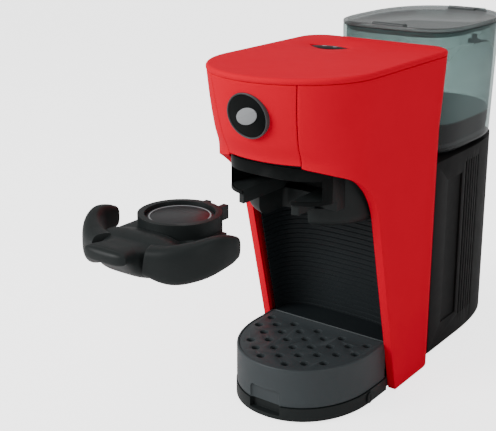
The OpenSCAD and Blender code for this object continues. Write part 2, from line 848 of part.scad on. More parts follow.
module suction_hose() {
    color("#d8d8d2") {
        translate([0, seat_y, 131]) ring(4.6, 3.25, 12);
        tube([[22.1, seat_y, 122], [28.5, seat_y, 122], [28.5, seat_y, 52], [28.5, 194, 52], [0, 194, 52],
            [0, 188.1, 52]], 3, 5.5, [0.3, 0.5, 0.8]);
    }
}

module pressure_hose() {
    color("#d8d8d2") tube([[0, 109.9, 52], [0, 84, 52], [-20, 80, 90], [-20, 80, 140],
        [-20, 54, 140], [-20, 54, 209], [-20, 42.1, 209]], 2.6, 6, [1, 0.2, 0.1]);
}

module control_board() {
    color("#2f5d3a") translate([-30, 52, 50]) cube([60, 1.6, 70]);
    color("#333333") translate([-24, 46, 60]) cube([20, 6, 16]);
    color("#444488") translate([4, 44, 84]) cube([16, 8, 12]);
    color("#999999") for (i = [0 : 5]) translate([-24 + 8 * i, 49.4, 106]) cube([5, 2.6, 8]);
}

module wiring() {
    color("#b03030") for (i = [0 : 2])
        tube([[-12 + 7 * i, 50.4, 114.2], [-12 + 7 * i, 46, 150], [10 + 3 * i, 46, 225 + 0.5 * i],
            [8 + 3 * i, 21.5 + 2.6 * i, 228], [-13.9, 21.5 + 2.6 * i, 228]], 0.8, 5, [0.6, 0.1, -0.8]);
}

base_frame();
feet();
base_screws();
side_lugs();
side_panel_left();
side_panel_right();
front_fascia();
top_cover();
badge_disc();
badge_ring();
badge_bean();
button_carrier();
button_switch();
power_button();
button_spring();
head_floor();
brew_housing();
slot_frame();
brew_casing();
bay_wall();
bulkhead();
rear_housing();
rear_vent();
cord_gland();
tank_seat();
tank_seal();
water_tank();
tank_valve();
tank_float();
hinge_pin();
tank_lid();
drip_tray();
drip_grid();
holder_body();
holder_grip();
holder_spout();
coffee_pod();
pod_foil();
brew_piston();
piston_nut();
piston_bridge();
piston_seal();
piston_spring();
thermoblock();
thermostat();
brew_pipe();
water_pump();
pump_mounts();
flow_meter();
suction_hose();
pressure_hose();
control_board();
wiring();
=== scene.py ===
"""Looks of a pod coffee machine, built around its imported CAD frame. Metres, +Z up, -Y is the front."""
import json
import math

import bmesh
import bpy
import numpy as np
from mathutils import Matrix, Vector


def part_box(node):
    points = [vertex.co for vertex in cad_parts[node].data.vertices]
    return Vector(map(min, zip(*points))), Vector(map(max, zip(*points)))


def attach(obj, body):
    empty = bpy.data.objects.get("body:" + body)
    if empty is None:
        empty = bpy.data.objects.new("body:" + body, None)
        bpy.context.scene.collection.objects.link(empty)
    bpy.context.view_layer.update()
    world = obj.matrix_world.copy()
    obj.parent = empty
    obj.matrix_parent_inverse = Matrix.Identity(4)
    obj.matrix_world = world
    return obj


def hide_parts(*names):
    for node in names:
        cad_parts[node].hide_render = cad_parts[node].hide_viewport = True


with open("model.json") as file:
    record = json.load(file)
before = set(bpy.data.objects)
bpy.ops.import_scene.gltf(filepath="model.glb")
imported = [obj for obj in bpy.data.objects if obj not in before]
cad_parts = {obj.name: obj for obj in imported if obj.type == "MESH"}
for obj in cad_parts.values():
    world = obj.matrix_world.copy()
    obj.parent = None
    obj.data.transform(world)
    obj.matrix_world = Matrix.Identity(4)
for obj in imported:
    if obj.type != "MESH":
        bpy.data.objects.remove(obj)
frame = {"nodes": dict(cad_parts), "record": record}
nodes = frame["nodes"]
body_of_node = {n: b for b, members in frame["record"]["behaviour"]["bodies"].items() for n in members}
slot_of_node = {s["node"]: s["material_slot"] for s in frame["record"]["subparts"]}
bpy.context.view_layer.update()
MM = 0.001

# ---------- places read from the frame ----------

cover_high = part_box("top_cover")[1]
tray_low, tray_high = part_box("drip_tray")
wall_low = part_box("bay_wall")[0]
button_low, button_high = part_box("power_button")
foil_low, foil_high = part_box("pod_foil")
casing_low, casing_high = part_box("brew_casing")

TOP = cover_high.z
REAR = cover_high.y
COVER_T = 4 * MM
SEAM = 0.4 * MM
MID = -50 * MM
CORNER = 20 * MM
HEAD = 194 * MM
SKIN = 3 * MM
LEG_EDGE = 6.5 * MM

# Height, half width and front half depth of the red body
LEVELS = np.array([[2, 58, 40], [150, 58.6, 42], [194, 59, 44],
                   [209, 60, 51], [231, 61.5, 57.5], [255, 63, 62]]) * MM

# Points (y, z) of the side panel's front edge: the arch's curve, the leg's foot, the front of the head
ARCH = np.array([[-74, 187], [-40, 176], [-32, 145]]) * MM
LEG_FOOT = np.array([3, 2]) * MM
HEAD_EDGE = np.array([-117, 203]) * MM

# Half width of the fascia in millimetres: at the height SEAM_Z, and its gain over SEAM_RISE
SEAM_X, SEAM_Z, SEAM_GAIN, SEAM_RISE = 28, 174, 8, 97

# Heights in millimetres between which the side panel has so many rows, then the head's first row
PANEL_BANDS = ((2, 140, 26), (142, 175, 22), (176, 188, 16), (189, 204, 18))
PANEL_HEAD = 0.2065

# Button: foot of the cap, edge, shoulder, and the top of its stem
CAP_FOOT, CAP_EDGE, CAP_SHOULDER, STEM_TOP = 0.244, 0.2524, 0.2529, 0.2445
DISH_R, DISH_DEPTH = 29 * MM, 2.2 * MM

# Plan of the tray
TRAY_HALF, TRAY_DEEP, TRAY_POWER, TRAY_MID = 52.5 * MM, 64 * MM, 2.1, -24 * MM
TRAY_REAR, TRAY_CORNER = -1 * MM, 4 * MM

BAY_TOP = 142.7 * MM
BAY_HALF, BAY_DEEP = 50 * MM, 24 * MM

# Plans of the brew casing and of the housing that it is cut out for
CASING_HALF, CASING_DEEP, CASING_MID, CASING_REAR = 53 * MM, 58 * MM, -10 * MM, 24 * MM
CASING_ROUND = 9 * MM
HOUSING_HALF, HOUSING_DEEP, HOUSING_REAR = 41.05 * MM, 36.05 * MM, -19.95 * MM
HOUSING_Z = 157.9 * MM

# Brightness of the sky as a light, of the sky as seen, and of the floor as seen
SKY_LIGHT, SKY_SEEN, FLOOR_SEEN = 0.42, 3.2, 2.6

# ---------- outlines and curves ----------


def smooth_levels(z, column):
    """Monotone cubic through the levels of the red body."""
    x, y = LEVELS[:, 0], LEVELS[:, column]
    h = np.diff(x)
    d = np.diff(y) / h
    m = np.zeros(len(x))
    m[1:-1] = 2 * d[:-1] * d[1:] / (d[:-1] + d[1:])
    m[0], m[-1] = d[0], d[-1]
    i = int(np.clip(np.searchsorted(x, z) - 1, 0, len(h) - 1))
    t = np.clip((z - x[i]) / h[i], 0, 1)
    return ((2 * t**3 - 3 * t**2 + 1) * y[i] + (t**3 - 2 * t**2 + t) * h[i] * m[i]
            + (3 * t**2 - 2 * t**3) * y[i + 1] + (t**3 - t**2) * h[i] * m[i + 1])


def bezier(points, count):
    t = np.linspace(0, 1, count)[:, None]
    return points[0] * (1 - t)**2 + points[1] * 2 * t * (1 - t) + points[2] * t**2


def front_edge(z):
    """Depth y at which the side panel begins at height z: leg, arch, then the head's underside."""
    arch = bezier(ARCH, 80)[::-1]
    line = np.vstack([LEG_FOOT, arch, HEAD_EDGE])
    return float(np.interp(z, line[:, 1], line[:, 0]))


def body_point(t, a, b):
    """Plan of the red body, right half.

    t runs 0 nose, 1 widest, 2 rear corner, 3 corner end, 4 rear centre.
    """
    if t <= 1:
        return a * math.sin(t * math.pi / 2), MID - b * math.cos(t * math.pi / 2)
    if t <= 2:
        return a, MID + (REAR - CORNER - MID) * (t - 1)
    if t <= 3:
        u = (t - 2) * math.pi / 2
        return a - CORNER + CORNER * math.cos(u), REAR - CORNER + CORNER * math.sin(u)
    return (a - CORNER) * (4 - t), REAR


def body_t_of_y(y, b):
    if y < MID:
        return math.acos(min(1, (MID - y) / b)) * 2 / math.pi
    return 1 + (y - MID) / (REAR - CORNER - MID)


def seam_x(z):
    """Half width of the fascia at height z."""
    return (SEAM_X + SEAM_GAIN * (z / MM - SEAM_Z) / SEAM_RISE) * MM


def superellipse(a, b, n, start, end, count):
    t = np.radians(np.linspace(start, end, count))
    c, s = np.cos(t), np.sin(t)
    return np.stack([a * np.sign(c) * np.abs(c)**(2 / n), b * np.sign(s) * np.abs(s)**(2 / n)], 1)


def arc(cx, cy, r, start, end, count):
    t = np.radians(np.linspace(start, end, count))
    return np.stack([cx + r * np.cos(t), cy + r * np.sin(t)], 1)


def foot_plan(inset):
    """Plan of the tray: rounded front, straight rear edge."""
    half, deep = TRAY_HALF - inset, TRAY_DEEP - inset
    front = superellipse(half, deep, TRAY_POWER, 0, -180, 121) + [0, TRAY_MID]
    y = TRAY_REAR - inset
    r = max(TRAY_CORNER - inset, 0.3 * MM)
    return np.vstack([front, arc(-half + r, y - r, r, 180, 90, 7), arc(half - r, y - r, r, 90, 0, 7)])


def tank_plan(half, front, rear, inset=0):
    """Plan of the tank about its own centre line."""
    half, front, rear = half - inset, front - inset, rear - inset
    back = superellipse(half, rear, 2.3, 0, 180, 81)
    ahead = superellipse(half, front, 4, 180, 360, 81)[1:-1]
    return np.vstack([back, ahead]) + [0, TANK_MID]


# ---------- mesh building ----------


def add_object(name, verts, faces, smooth=40):
    mesh = bpy.data.meshes.new(name)
    mesh.from_pydata([tuple(v) for v in verts], [], faces)
    mesh.validate()
    ob = bpy.data.objects.new(name, mesh)
    bpy.context.scene.collection.objects.link(ob)
    bm = bmesh.new()
    bm.from_mesh(mesh)
    bmesh.ops.remove_doubles(bm, verts=bm.verts, dist=1e-6)
    bmesh.ops.recalc_face_normals(bm, faces=bm.faces)
    bm.to_mesh(mesh)
    bm.free()
    shade(ob, smooth)
    return ob


def shade(ob, angle=40):
    ob.data.shade_smooth()
    ob.data.set_sharp_from_angle(angle=math.radians(angle))


def bake(ob, smooth=40):
    """Applies the modifiers, so that the mesh is what is seen."""
    deps = bpy.context.evaluated_depsgraph_get()
    mesh = bpy.data.meshes.new_from_object(ob.evaluated_get(deps))
    ob.modifiers.clear()
    ob.data = mesh
    shade(ob, smooth)
    return ob


def bevel(ob, width, segments=3, angle=40):
    m = ob.modifiers.new("edges", "BEVEL")
    m.width = width
    m.segments = segments
    m.limit_method = "ANGLE"
    m.angle_limit = math.radians(angle)
    m.miter_outer = "MITER_ARC"
    m.use_clamp_overlap = True
    return bake(ob)


def grid(rows, closed=False):
    """Faces between rows of points of equal length."""
    rows = np.asarray(rows)
    n, k = rows.shape[:2]
    faces = []
    for i in range(n - 1):
        for j in range(k if closed else k - 1):
            a, b = j, (j + 1) % k
            faces.append((i * k + a, i * k + b, (i + 1) * k + b, (i + 1) * k + a))
    return rows.reshape(-1, 3), faces


def loft(name, rings, loop=False, smooth=40):
    """A skin over closed rings, with flat ends, or joined into a loop."""
    rings = [np.asarray(r) for r in rings]
    if loop:
        rings.append(rings[0])
    verts, faces = grid(rings, closed=True)
    k = len(rings[0])
    if not loop:
        faces.append(tuple(range(k)))
        faces.append(tuple(range((len(rings) - 1) * k, len(rings) * k)))
    return add_object(name, verts, faces, smooth)


def at_height(plan, z):
    return np.hstack([plan, np.full((len(plan), 1), z)])


def plan_loft(name, plan, profile, **options):
    """A loft of plan(inset) along a profile of (inset, height) pairs."""
    return loft(name, [at_height(plan(i), z) for i, z in profile], **options)


def fillet(i0, z0, i1, z1, count=5):
    """Quarter round from (i0, z0), leaving along z, to (i1, z1), arriving along the inset."""
    t = np.linspace(0, math.pi / 2, count)
    return [(i0 + (i1 - i0) * (1 - math.cos(u)), z0 + (z1 - z0) * math.sin(u)) for u in t]


def thick_grid(name, outer, thickness, smooth=40):
    """A shell from an open grid of points, thickened inwards by thickness, a number or an array."""
    outer = np.asarray(outer)
    du = np.gradient(outer, axis=1)
    dv = np.gradient(outer, axis=0)
    normal = np.cross(du, dv)
    normal /= np.linalg.norm(normal, axis=2)[:, :, None] + 1e-12
    inner = outer - normal * np.broadcast_to(np.asarray(thickness), outer.shape[:2])[:, :, None]
    n, k = outer.shape[:2]
    verts, faces = grid(outer)
    inner_verts, inner_faces = grid(inner)
    off = n * k
    faces += [tuple(off + v for v in reversed(f)) for f in inner_faces]
    edge = [(0, j) for j in range(k)] + [(i, k - 1) for i in range(1, n)]
    edge += [(n - 1, j) for j in range(k - 2, -1, -1)] + [(i, 0) for i in range(n - 2, 0, -1)]
    ids = [i * k + j for i, j in edge]
    for a, b in zip(ids, ids[1:] + ids[:1]):
        faces.append((b, a, off + a, off + b))
    return add_object(name, np.vstack([verts, inner_verts]), faces, smooth)


def smooth_path(points, steps=8):
    """Catmull-Rom curve through points of any dimension."""
    p = np.asarray(points, float)
    p = np.vstack([2 * p[0] - p[1], p, 2 * p[-1] - p[-2]])
    out = []
    for i in range(1, len(p) - 2):
        for t in np.linspace(0, 1, steps, endpoint=False):
            out.append(0.5 * (2 * p[i] + (p[i + 1] - p[i - 1]) * t
                              + (2 * p[i - 1] - 5 * p[i] + 4 * p[i + 1] - p[i + 2]) * t**2
                              + (3 * p[i] - p[i - 1] - 3 * p[i + 1] + p[i + 2]) * t**3))
    out.append(p[-2])
    return np.array(out)


def sweep(name, stations, power=3.0, round_start=True):
    """A rounded bar through stations of (x, y, z, width, height); the section stays upright."""
    line = smooth_path(stations)
    centre, size = line[:, :3], line[:, 3:5]
    tangent = np.gradient(centre, axis=0)
    tangent /= np.linalg.norm(tangent, axis=1)[:, None]
    side = np.cross(tangent, [0, 0, 1])
    side /= np.linalg.norm(side, axis=1)[:, None]
    up = np.cross(side, tangent)
    section = superellipse(0.5, 0.5, power, 0, 360, 41)[:-1]
    rings = []

    def ring(i, shift, scale):
        w, h = size[i] * scale
        return centre[i] + tangent[i] * shift + side[i] * section[:, :1] * w + up[i] * section[:, 1:] * h

    caps = np.radians([84, 66, 48, 30, 14])
    if round_start:
        depth = size[0].min() * 0.45
        rings += [ring(0, -depth * math.sin(u), math.cos(u)**0.7) for u in caps]
    rings += [ring(i, 0, 1) for i in range(len(line))]
    depth = size[-1].min() * 0.45
    rings += [ring(-1, depth * math.sin(u), math.cos(u)**0.7) for u in caps[::-1]]
    return loft(name, rings)


def cut(ob, cutter, smooth=40):
    m = ob.modifiers.new("cut", "BOOLEAN")
    m.operation = "DIFFERENCE"
    m.solver = "EXACT"
    m.object = cutter
    bake(ob, smooth)
    bpy.data.objects.remove(cutter)
    return ob


def block(name, low, high, r=0, segments=4):
    low, high = Vector(low), Vector(high)
    bm = bmesh.new()
    bmesh.ops.create_cube(bm, size=1)
    bmesh.ops.scale(bm, vec=high - low, verts=bm.verts)
    bmesh.ops.translate(bm, vec=(low + high) / 2, verts=bm.verts)
    if r:
        bmesh.ops.bevel(bm, geom=bm.edges, offset=r, segments=segments, profile=0.5, affect="EDGES")
    mesh = bpy.data.meshes.new(name)
    bm.to_mesh(mesh)
    bm.free()
    ob = bpy.data.objects.new(name, mesh)
    bpy.context.scene.collection.objects.link(ob)
    return ob


def mirrored(ob, name):
    """A copy of ob mirrored across the machine's middle plane."""
    mesh = ob.data.copy()
    mesh.transform(Matrix.Scale(-1, 4, (1, 0, 0)))
    mesh.flip_normals()
    copy = bpy.data.objects.new(name, mesh)
    bpy.context.scene.collection.objects.link(copy)
    return copy


def joined(name, parts):
    """One object from several."""
    bm = bmesh.new()
    for p in parts:
        bm.from_mesh(p.data)
    mesh = bpy.data.meshes.new(name)
    bm.to_mesh(mesh)
    bm.free()
    for p in parts:
        bpy.data.objects.remove(p)
    ob = bpy.data.objects.new(name, mesh)
    bpy.context.scene.collection.objects.link(ob)
    shade(ob)
    return ob


# ---------- materials ----------


def node_tools(material):
    tree = material.node_tree
    links = tree.links

    def add(kind, **values):
        n = tree.nodes.new(kind)
        for key, value in values.items():
            if key in n.inputs:
                n.inputs[key].default_value = value
            else:
                setattr(n, key, value)
        return n

    return tree, links, add


def moulded(name, colour, rough=0.35, grain=900, depth=0.00006, strength=0.35, spread=0.08,
            rough_spread=0.06, metallic=0.0, edge_lightening=0.0, specular=0.5, transmission=0.0, bevel_r=0.0):
    """A procedural finish: mottled colour, uneven gloss and a moulded grain in the bump."""
    m = bpy.data.materials.new(name)
    m.use_nodes = True
    tree, links, add = node_tools(m)
    shader = tree.nodes["Principled BSDF"]
    shader.inputs["Metallic"].default_value = metallic
    shader.inputs["IOR"].default_value = 1.46
    shader.inputs["Specular IOR Level"].default_value = specular
    shader.inputs["Transmission Weight"].default_value = transmission
    place = add("ShaderNodeTexCoord")
    cloud = add("ShaderNodeTexNoise", Scale=38.0, Detail=4.0, Roughness=0.55)
    links.new(place.outputs["Object"], cloud.inputs["Vector"])
    tint = add("ShaderNodeMix", data_type="RGBA")
    low = [c * (1 - spread) for c in colour]
    high = [min(1, c * (1 + spread)) for c in colour]
    tint.inputs[6].default_value = (*low, 1)
    tint.inputs[7].default_value = (*high, 1)
    links.new(cloud.outputs["Fac"], tint.inputs["Factor"])
    last = tint.outputs[2]
    # Lighter colour on sharp outer edges, read from the mesh's pointiness
    if edge_lightening:
        geometry = add("ShaderNodeNewGeometry")
        edge_mask = add("ShaderNodeMapRange")
        edge_mask.inputs["From Min"].default_value = 0.53
        edge_mask.inputs["From Max"].default_value = 0.62
        edge_mask.inputs["To Max"].default_value = edge_lightening
        links.new(geometry.outputs["Pointiness"], edge_mask.inputs["Value"])
        lighter = add("ShaderNodeMix", data_type="RGBA")
        lighter.inputs[7].default_value = (*[min(1, c * 1.6 + 0.02) for c in colour], 1)
        links.new(edge_mask.outputs["Result"], lighter.inputs["Factor"])
        links.new(last, lighter.inputs[6])
        last = lighter.outputs[2]
    links.new(last, shader.inputs["Base Color"])
    smear = add("ShaderNodeTexNoise", Scale=120.0, Detail=3.0)
    links.new(place.outputs["Object"], smear.inputs["Vector"])
    gloss = add("ShaderNodeMapRange")
    gloss.inputs["To Min"].default_value = max(0, rough - rough_spread)
    gloss.inputs["To Max"].default_value = min(1, rough + rough_spread)
    links.new(smear.outputs["Fac"], gloss.inputs["Value"])
    links.new(gloss.outputs["Result"], shader.inputs["Roughness"])
    fine = add("ShaderNodeTexNoise", Scale=float(grain), Detail=2.0, Roughness=0.5)
    links.new(place.outputs["Object"], fine.inputs["Vector"])
    bump = add("ShaderNodeBump", Strength=strength, Distance=depth)
    links.new(fine.outputs["Fac"], bump.inputs["Height"])
    if bevel_r:
        rounded = add("ShaderNodeBevel", Radius=bevel_r, samples=4)
        links.new(rounded.outputs["Normal"], bump.inputs["Normal"])
    links.new(bump.outputs["Normal"], shader.inputs["Normal"])
    return m


def smoked(name, colour, clear, rough=0.04, solid=0.5, levels=()):
    """Tinted clear plastic: the far side shows through, and levels (z, factor) multiply its colour by height,
    which paints highlight and shade on it.
    """
    m = bpy.data.materials.new(name)
    m.use_nodes = True
    tree, links, add = node_tools(m)
    output = tree.nodes["Material Output"]
    glossy = tree.nodes["Principled BSDF"]
    place = add("ShaderNodeTexCoord")
    flow = add("ShaderNodeTexNoise", Scale=22.0, Detail=3.0, Distortion=0.6)
    links.new(place.outputs["Object"], flow.inputs["Vector"])
    tint = add("ShaderNodeMix", data_type="RGBA")
    tint.inputs[6].default_value = (*[c * 0.93 for c in colour], 1)
    tint.inputs[7].default_value = (*[min(1, c * 1.07) for c in colour], 1)
    links.new(flow.outputs["Fac"], tint.inputs["Factor"])
    shade_of = tint.outputs[2]
    if levels:
        axes = add("ShaderNodeSeparateXYZ")
        links.new(place.outputs["Object"], axes.inputs[0])
        span = add("ShaderNodeMapRange")
        span.inputs["From Min"].default_value = levels[0][0]
        span.inputs["From Max"].default_value = levels[-1][0]
        links.new(axes.outputs["Z"], span.inputs["Value"])
        ramp = add("ShaderNodeValToRGB")
        stops = ramp.color_ramp.elements
        while len(stops) < len(levels):
            stops.new(0.5)
        for stop, (z, tone) in zip(stops, levels):
            stop.position = (z - levels[0][0]) / (levels[-1][0] - levels[0][0])
            stop.color = (*tone, 1)
        links.new(span.outputs["Result"], ramp.inputs["Fac"])
        product = add("ShaderNodeMix", data_type="RGBA", blend_type="MULTIPLY")
        product.inputs["Factor"].default_value = 1.0
        links.new(shade_of, product.inputs[6])
        links.new(ramp.outputs["Color"], product.inputs[7])
        shade_of = product.outputs[2]
    links.new(shade_of, glossy.inputs["Base Color"])
    gloss = add("ShaderNodeMapRange")
    gloss.inputs["To Min"].default_value = rough
    gloss.inputs["To Max"].default_value = rough + 0.06
    links.new(flow.outputs["Fac"], gloss.inputs["Value"])
    links.new(gloss.outputs["Result"], glossy.inputs["Roughness"])
    bump = add("ShaderNodeBump", Strength=0.12, Distance=0.0003)
    links.new(flow.outputs["Fac"], bump.inputs["Height"])
    links.new(bump.outputs["Normal"], glossy.inputs["Normal"])
    glossy.inputs["IOR"].default_value = 1.49
    glossy.inputs["Specular IOR Level"].default_value = 0.25
    through = add("ShaderNodeBsdfTransparent")
    through.inputs["Color"].default_value = (*clear, 1)
    edge = add("ShaderNodeLayerWeight", Blend=0.3)
    share = add("ShaderNodeMapRange")
    share.inputs["To Min"].default_value = solid
    share.inputs["To Max"].default_value = 0.95
    links.new(edge.outputs["Facing"], share.inputs["Value"])
    both = add("ShaderNodeMixShader")
    links.new(share.outputs["Result"], both.inputs["Fac"])
    links.new(through.outputs["BSDF"], both.inputs[1])
    links.new(glossy.outputs["BSDF"], both.inputs[2])
    # The back of each skin lets everything through, so that a wall tints only once
    skin = add("ShaderNodeNewGeometry")
    open_side = add("ShaderNodeBsdfTransparent")
    wall = add("ShaderNodeMixShader")
    links.new(skin.outputs["Backfacing"], wall.inputs["Fac"])
    links.new(both.outputs["Shader"], wall.inputs[1])
    links.new(open_side.outputs["BSDF"], wall.inputs[2])
    links.new(wall.outputs["Shader"], output.inputs["Surface"])
    return m


RED = (0.78, 0.001, 0.025)
# Tank colour by height: darker below 0.19 where the strainer sits, a painted highlight across the middle and
# painted shade under the lid
TANK_BAND_AND_PAINTED_LIGHT = ((0.150, (0.38, 0.27, 0.28)), (0.189, (0.38, 0.27, 0.28)), (0.191, (0.95, 0.95, 0.95)),
               (0.222, (1.1, 1.1, 1.1)), (0.245, (0.7, 0.72, 0.72)), (0.262, (0.35, 0.38, 0.38)))
materials = {
    "red_shell": moulded("red_gloss", RED, rough=0.4, grain=420, depth=0.00003, strength=0.2,
                         spread=0.03, edge_lightening=0.1, specular=0.004),
    "black_plastic": moulded("black_satin", (0.013, 0.016, 0.016), rough=0.45, specular=0.22, grain=1500,
                             depth=0.00008, strength=0.5, spread=0.15, edge_lightening=0.5, bevel_r=0.0003),
    "gloss_black": moulded("black_gloss", (0.006, 0.007, 0.007), rough=0.3, grain=500, depth=0.00002,
                           strength=0.15, edge_lightening=0.3, specular=0.06),
    "grid_plastic": moulded("charcoal_satin", (0.046, 0.055, 0.059), rough=0.45, specular=0.3, grain=1300,
                            depth=0.00008, strength=0.5, spread=0.1, edge_lightening=0.5),
    "grey_trim": moulded("grey_trim", (0.3, 0.31, 0.32), rough=0.35, specular=0.3, grain=900, strength=0.2),
    "black_rubber": moulded("black_rubber", (0.012, 0.012, 0.012), rough=0.75, grain=1100, strength=0.7),
    "plated_steel": moulded("plated_steel", (0.6, 0.61, 0.62), rough=0.28, metallic=1.0, grain=700,
                            strength=0.2, rough_spread=0.12),
    "smoked_clear": smoked("smoked_teal", (0.165, 0.24, 0.237), (0.41, 0.51, 0.495), solid=0.42,
                           levels=TANK_BAND_AND_PAINTED_LIGHT),
    "smoked_lid": smoked("smoked_grey", (0.085, 0.094, 0.095), (0.29, 0.31, 0.31), rough=0.12,
                         solid=0.64),
    "white_plastic": moulded("natural_nylon", (0.62, 0.6, 0.53), rough=0.5, grain=1000, strength=0.4),
    "cast_alloy": moulded("cast_alloy", (0.55, 0.55, 0.54), rough=0.5, metallic=1.0, grain=1600,
                          depth=0.0002, strength=0.8, rough_spread=0.15),
    "pod_plastic": moulded("pod_shell", (0.02, 0.02, 0.022), rough=0.3, grain=800, strength=0.2),
    "pod_foil": moulded("pod_foil", (0.03, 0.031, 0.033), rough=0.35, grain=260, depth=0.0002,
                        strength=0.35, metallic=0.4),
    "clear_hose": moulded("milky_silicone", (0.55, 0.56, 0.53), rough=0.4, grain=600, strength=0.3,
                          transmission=0.3),
    "board_green": moulded("solder_mask", (0.015, 0.1, 0.035), rough=0.3, grain=900, strength=0.5),
    "wire_red": moulded("wire_cover", (0.35, 0.02, 0.02), rough=0.4, grain=900, strength=0.2),
}
bay_black = moulded("bay_black", (0.012, 0.016, 0.018), rough=0.5, specular=0.25, grain=1500,
                    depth=0.00008, strength=0.5, spread=0.15)


def dress(ob, material):
    ob.data.materials.clear()
    ob.data.materials.append(material)
    return ob


def finish_piece(ob, body, slot, *replaced, material=None):
    """Gives a new piece its finish, its body and the CAD nodes that it stands for."""
    dress(ob, material or materials[slot])
    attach(ob, body)
    if replaced:
        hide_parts(*replaced)
    return ob


for node, ob in nodes.items():
    dress(ob, materials[slot_of_node[node]])


def refined(node, width, segments=3, material=None):
    """A copy of a CAD node with merged faces and rounded edges."""
    mesh = nodes[node].data.copy()
    bm = bmesh.new()
    bm.from_mesh(mesh)
    bmesh.ops.remove_doubles(bm, verts=bm.verts, dist=2e-6)
    bmesh.ops.dissolve_limit(bm, angle_limit=math.radians(0.8), verts=bm.verts, edges=bm.edges)
    bmesh.ops.recalc_face_normals(bm, faces=bm.faces)
    bm.to_mesh(mesh)
    bm.free()
    ob = bpy.data.objects.new(node + "_moulded", mesh)
    bpy.context.scene.collection.objects.link(ob)
    bevel(ob, width, segments, 42)
    return finish_piece(ob, body_of_node[node], slot_of_node[node], node, material=material)


# ---------- red shells ----------


def panel_rows():
    top = TOP - COVER_T - SEAM
    heights = np.concatenate([np.linspace(*band) for band in PANEL_BANDS]) * MM
    return np.concatenate([heights, np.linspace(PANEL_HEAD, top, 18)])


def side_panel():
    """Right side panel: an upside-down L wrapped round the flank and the rear corner."""
    rows, thickness = [], []
    for z in panel_rows():
        a, b = smooth_levels(z, 1), smooth_levels(z, 2)
        first = math.asin(min(1, (seam_x(z) + SEAM) / a)) * 2 / math.pi
        if z < HEAD_EDGE[1]:
            first = max(first, body_t_of_y(front_edge(z), b))
        ts = np.concatenate([first + (2 - first) * np.linspace(0, 1, 61), 2 + np.linspace(0, 1, 13)[1:]])
        pts = np.array([(*body_point(t, a, b), z) for t in ts])
        rows.append(pts)
        run = np.concatenate([[0], np.cumsum(np.linalg.norm(np.diff(pts[:, :2], axis=0), axis=1))])
        near = np.clip(1 - run / (9 * MM), 0, 1)
        flange = (LEG_EDGE - SKIN) * near**2 * (1 if z < HEAD_EDGE[1] - 8 * MM else 0)
        thickness.append(SKIN + flange)
    return thick_grid("side_panel_right_shell", rows, np.array(thickness))


right = bevel(side_panel(), 0.7 * MM, 3, 50)
left = mirrored(right, "side_panel_left_shell")
finish_piece(right, "root", "red_shell", "side_panel_right")
finish_piece(left, "root", "red_shell", "side_panel_left")


def fascia():
    rows = []
    for z in np.linspace(HEAD, TOP - COVER_T - SEAM, 46):
        a, b = smooth_levels(z, 1), smooth_levels(z, 2)
        edge = math.asin(seam_x(z) / a) * 2 / math.pi
        rows.append([(math.copysign(body_point(abs(t), a, b)[0], t), body_point(abs(t), a, b)[1], z)
                     for t in np.linspace(-edge, edge, 61)])
    return thick_grid("front_fascia_shell", rows, SKIN)


finish_piece(bevel(fascia(), 0.6 * MM, 3, 50), "root", "red_shell", "front_fascia")

BUTTON = Vector(((button_low.x + button_high.x) / 2, (button_low.y + button_high.y) / 2))
LENS = (button_high.x - button_low.x, button_high.y - button_low.y)


def cover_outline(inset):
    """Closed plan of the top cover, drawn in by inset."""
    a, b = LEVELS[-1, 1], LEVELS[-1, 2]
    ts = np.concatenate([np.linspace(0, 1, 50), 1 + np.linspace(0, 1, 22)[1:], 2 + np.linspace(0, 1, 14)[1:],
                         3 + np.linspace(0, 1, 12)[1:-1]])
    half = np.array([body_point(t, a, b) for t in ts])
    full = np.vstack([half, half[::-1][:-1] * [-1, 1]])
    step = np.roll(full, -1, axis=0) - np.roll(full, 1, axis=0)
    normal = np.stack([step[:, 1], -step[:, 0]], 1)
    normal /= np.linalg.norm(normal, axis=1)[:, None]
    return full - normal * inset


def lens_outline(directions, grow=0.0):
    """Points of the lens-shaped button's edge in the given directions."""
    length, width = LENS[0] / 2 + grow, LENS[1] / 2 + grow
    r = (length**2 + width**2) / (2 * width)
    out = []
    for d in directions:
        d = d / np.linalg.norm(d)
        reach = 1.0
        for cy in (r - width, width - r):
            along = d[1] * cy
            reach = min(reach, along + math.sqrt(along**2 + r**2 - cy**2))
        out.append(d * reach + np.array(BUTTON))
    return np.array(out)


def dish(points):
    """How far the top dips round the button."""
    q = np.clip(np.linalg.norm(points - np.array(BUTTON), axis=1) / DISH_R, 0, 1)
    return DISH_DEPTH * (1 - q**2)**2


def top_cover():
    outer = cover_outline(0)
    inner = lens_outline(outer - np.array(BUTTON), 0.4 * MM)
    rings = [at_height(inner, TOP - 3.9 * MM)]
    shares = np.concatenate([[0.0, 0.012, 0.03], np.linspace(0.06, 0.9, 22), [0.97, 1.0]])
    rim = cover_outline(2.4 * MM)
    for k, s in enumerate(shares):
        plan = inner + (rim - inner) * s
        lip = (0.5 * MM, 0.12 * MM, 0)[k] if k < 3 else 0
        rings.append(np.hstack([plan, (TOP - dish(plan) - lip)[:, None]]))
    for inset, z in fillet(0, TOP - 2.2 * MM, 2.4 * MM, TOP, 7)[::-1][1:]:
        rings.append(at_height(cover_outline(inset), z))
    rings.append(at_height(cover_outline(0.1 * MM), TOP - 3.3 * MM))
    rings.append(at_height(cover_outline(0.7 * MM), TOP - COVER_T))
    rings.append(at_height(cover_outline(3.2 * MM), TOP - COVER_T))
    rings.append(at_height(inner + (rim - inner) * 0.5, TOP - COVER_T))
    return loft("top_cover_shell", rings, loop=True, smooth=50)


finish_piece(top_cover(), "root", "red_shell", "top_cover")


